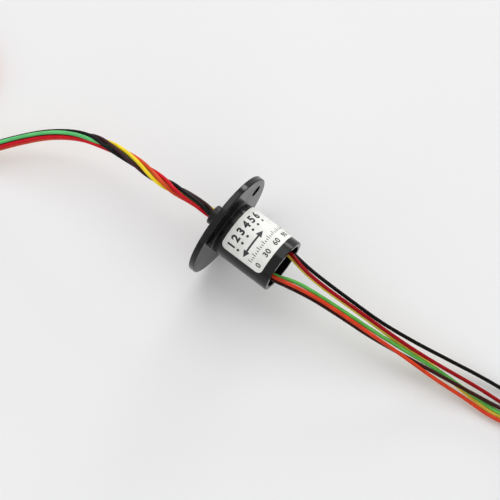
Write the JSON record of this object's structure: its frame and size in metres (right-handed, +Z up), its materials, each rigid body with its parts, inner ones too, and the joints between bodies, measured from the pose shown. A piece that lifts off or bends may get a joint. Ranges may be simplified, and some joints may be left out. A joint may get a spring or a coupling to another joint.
{
  "type": "slip ring",
  "caption": "Miniature flanged slip ring: a turning rotor with contact rings and wire brushes carries its leads through a fixed housing.",
  "frame": {"origin": "on the rotor's axis, in the seating face of the flange", "axes": "+X along the axis from the flange towards the end that the fixed leads leave, +Z up as the part lies on its flange rim"},
  "size_m": [0.1998, 0.0352, 0.0248],
  "materials": {
    "housing_plastic": "glossy black moulded plastic",
    "core_plastic": "black moulded plastic",
    "barrier_plastic": "natural insulating plastic",
    "brush_board": "glass-filled insulating strip",
    "label_film": "pale satin film",
    "contact_metal": "gold-plated brass",
    "bearing_steel": "ground steel",
    "cage_steel": "pressed steel",
    "clamp_metal": "turned, satin",
    "wire_mixed": "smooth extruded lead insulation in six colours",
    "tie_plastic": "black flat tie",
    "wire_black": "smooth extruded insulation",
    "wire_green": "smooth extruded insulation",
    "wire_red": "smooth extruded insulation",
    "wire_orange": "smooth extruded insulation",
    "wire_yellow": "smooth extruded insulation",
    "wire_brown": "smooth extruded insulation"
  },
  "bodies": {
    "stator": {"housing": "housing_plastic", "label": "label_film", "end_cap": "core_plastic", "brush_block_a": "brush_board", "brush_block_b": "brush_board", "front_bearing_outer_race": "bearing_steel", "rear_bearing_outer_race": "bearing_steel", "brush_1": "contact_metal", "brush_2": "contact_metal", "brush_3": "contact_metal", "brush_4": "contact_metal", "brush_5": "contact_metal", "brush_6": "contact_metal", "stator_lead_black": "wire_black", "stator_lead_green": "wire_green", "stator_lead_red": "wire_red", "stator_lead_orange": "wire_orange", "stator_lead_yellow": "wire_yellow", "stator_lead_brown": "wire_brown", "stator_lead_coil": "wire_mixed", "stator_lead_tie": "tie_plastic"},
    "rotor": {"rotor_core": "core_plastic", "clamp_collar": "clamp_metal", "retaining_ring": "cage_steel", "front_bearing_inner_race": "bearing_steel", "rear_bearing_inner_race": "bearing_steel", "rotor_lead_bundle": "wire_mixed", "rotor_lead_coil": "wire_mixed", "rotor_lead_tie": "tie_plastic", "contact_ring_1": "contact_metal", "contact_ring_2": "contact_metal", "contact_ring_3": "contact_metal", "contact_ring_4": "contact_metal", "contact_ring_5": "contact_metal", "contact_ring_6": "contact_metal", "barrier_1": "barrier_plastic", "barrier_2": "barrier_plastic", "barrier_3": "barrier_plastic", "barrier_4": "barrier_plastic", "barrier_5": "barrier_plastic", "barrier_6": "barrier_plastic", "barrier_7": "barrier_plastic"},
    "front_ball_set": {"front_bearing_balls": "bearing_steel", "front_bearing_cage": "cage_steel"},
    "rear_ball_set": {"rear_bearing_balls": "bearing_steel", "rear_bearing_cage": "cage_steel"}
  },
  "joints": [
    {"name": "rotor_spin", "type": "hinge", "parent": "stator", "child": "rotor", "pos_m": [0, 0, 0], "axis": [1, 0, 0], "continuous": true},
    {"name": "front_ball_orbit", "type": "hinge", "parent": "stator", "child": "front_ball_set", "pos_m": [0, 0, 0], "axis": [1, 0, 0], "continuous": true},
    {"name": "rear_ball_orbit", "type": "hinge", "parent": "stator", "child": "rear_ball_set", "pos_m": [0, 0, 0], "axis": [1, 0, 0], "continuous": true}
  ],
  "couplings": [
    {"joint": "front_ball_orbit", "follows": "rotor_spin", "ratio": 0.43077},
    {"joint": "rear_ball_orbit", "follows": "rotor_spin", "ratio": 0.39091}
  ]
}
